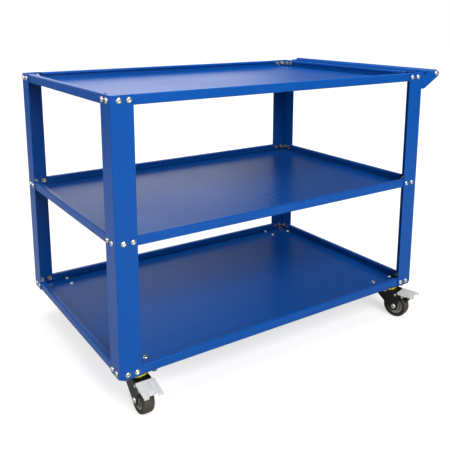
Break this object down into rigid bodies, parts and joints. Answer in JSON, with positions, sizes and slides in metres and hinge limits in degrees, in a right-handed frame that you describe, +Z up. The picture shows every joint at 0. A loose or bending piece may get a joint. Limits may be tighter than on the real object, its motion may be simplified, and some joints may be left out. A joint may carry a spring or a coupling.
{
  "type": "three-tier tool trolley",
  "caption": "Three-tier sheet-steel workshop trolley with raised tray rims, a push handle at one end and braked swivel casters.",
  "frame": {"origin": "centre of the bounding box on the floor plane", "axes": "+X along the trolley towards the push handle, +Y to the back, +Z up"},
  "size_m": [1.0752, 0.7288, 0.778],
  "materials": {
    "blue_paint": "semi-gloss powder coat",
    "black_paint": "satin black powder coat",
    "zinc": "zinc plated",
    "bright_zinc": "bright zinc plated pressing",
    "yellow_plastic": "satin moulded",
    "grey_plastic": "satin moulded",
    "rubber": "moulded rubber"
  },
  "bodies": {
    "trolley_frame": {"post_front_left": "blue_paint", "post_front_right": "blue_paint", "post_rear_left": "blue_paint", "post_rear_right": "blue_paint", "tray_bottom": "blue_paint", "tray_middle": "blue_paint", "tray_top": "blue_paint", "handle_tube": "blue_paint", "handle_bracket_front": "blue_paint", "handle_bracket_rear": "blue_paint", "tube_plug_front": "zinc", "tube_plug_rear": "zinc", "handle_bolt_front": "zinc", "handle_bolt_rear": "zinc", "mount_plate_front_left": "black_paint", "mount_plate_front_right": "black_paint", "mount_plate_rear_left": "black_paint", "mount_plate_rear_right": "black_paint", "kingpin_front_left": "zinc", "kingpin_front_right": "zinc", "kingpin_rear_left": "zinc", "kingpin_rear_right": "zinc"},
    "caster_front_left": {"swivel_fork_front_left": "black_paint", "dust_ring_front_left": "yellow_plastic", "axle_bolt_front_left": "zinc", "axle_nut_front_left": "zinc", "brake_pin_front_left": "zinc"},
    "wheel_front_left": {"wheel_hub_front_left": "grey_plastic", "tyre_front_left": "rubber"},
    "pedal_front_left": {"brake_pedal_front_left": "bright_zinc", "brake_shoe_front_left": "black_paint"},
    "caster_front_right": {"swivel_fork_front_right": "black_paint", "dust_ring_front_right": "yellow_plastic", "axle_bolt_front_right": "zinc", "axle_nut_front_right": "zinc", "brake_pin_front_right": "zinc"},
    "wheel_front_right": {"wheel_hub_front_right": "grey_plastic", "tyre_front_right": "rubber"},
    "pedal_front_right": {"brake_pedal_front_right": "bright_zinc", "brake_shoe_front_right": "black_paint"},
    "caster_rear_left": {"swivel_fork_rear_left": "black_paint", "dust_ring_rear_left": "yellow_plastic", "axle_bolt_rear_left": "zinc", "axle_nut_rear_left": "zinc", "brake_pin_rear_left": "zinc"},
    "wheel_rear_left": {"wheel_hub_rear_left": "grey_plastic", "tyre_rear_left": "rubber"},
    "pedal_rear_left": {"brake_pedal_rear_left": "bright_zinc", "brake_shoe_rear_left": "black_paint"},
    "caster_rear_right": {"swivel_fork_rear_right": "black_paint", "dust_ring_rear_right": "yellow_plastic", "axle_bolt_rear_right": "zinc", "axle_nut_rear_right": "zinc", "brake_pin_rear_right": "zinc"},
    "wheel_rear_right": {"wheel_hub_rear_right": "grey_plastic", "tyre_rear_right": "rubber"},
    "pedal_rear_right": {"brake_pedal_rear_right": "bright_zinc", "brake_shoe_rear_right": "black_paint"}
  },
  "joints": [
    {"name": "swivel_front_left", "type": "hinge", "parent": "trolley_frame", "child": "caster_front_left", "pos_m": [-0.47864, -0.26246, 0.09], "axis": [0, 0, 1], "continuous": true},
    {"name": "roll_front_left", "type": "hinge", "parent": "caster_front_left", "child": "wheel_front_left", "pos_m": [-0.47925, -0.29745, 0.0375], "axis": [0.9998, -0.0175, 0], "continuous": true},
    {"name": "brake_front_left", "type": "hinge", "parent": "caster_front_left", "child": "pedal_front_left", "pos_m": [-0.47972, -0.32445, 0.076], "axis": [0.9998, -0.0175, 0], "range_deg": [-12, 0]},
    {"name": "swivel_front_right", "type": "hinge", "parent": "trolley_frame", "child": "caster_front_right", "pos_m": [0.40336, -0.26246, 0.09], "axis": [0, 0, 1], "continuous": true},
    {"name": "roll_front_right", "type": "hinge", "parent": "caster_front_right", "child": "wheel_front_right", "pos_m": [0.41242, -0.29627, 0.0375], "axis": [0.9659, 0.2588, 0], "continuous": true},
    {"name": "brake_front_right", "type": "hinge", "parent": "caster_front_right", "child": "pedal_front_right", "pos_m": [0.41941, -0.32234, 0.076], "axis": [0.9659, 0.2588, 0], "range_deg": [0, 12]},
    {"name": "swivel_rear_left", "type": "hinge", "parent": "trolley_frame", "child": "caster_rear_left", "pos_m": [-0.47864, 0.30754, 0.09], "axis": [0, 0, 1], "continuous": true},
    {"name": "roll_rear_left", "type": "hinge", "parent": "caster_rear_left", "child": "wheel_rear_left", "pos_m": [-0.44364, 0.30754, 0.0375], "axis": [0, 1, 0], "continuous": true},
    {"name": "brake_rear_left", "type": "hinge", "parent": "caster_rear_left", "child": "pedal_rear_left", "pos_m": [-0.41664, 0.30754, 0.076], "axis": [0, 1, 0], "range_deg": [0, 12]},
    {"name": "swivel_rear_right", "type": "hinge", "parent": "trolley_frame", "child": "caster_rear_right", "pos_m": [0.40336, 0.30754, 0.09], "axis": [0, 0, 1], "continuous": true},
    {"name": "roll_rear_right", "type": "hinge", "parent": "caster_rear_right", "child": "wheel_rear_right", "pos_m": [0.43625, 0.31951, 0.0375], "axis": [-0.342, 0.9397, 0], "continuous": true},
    {"name": "brake_rear_right", "type": "hinge", "parent": "caster_rear_right", "child": "pedal_rear_right", "pos_m": [0.46162, 0.32875, 0.076], "axis": [-0.342, 0.9397, 0], "range_deg": [0, 12]}
  ]
}
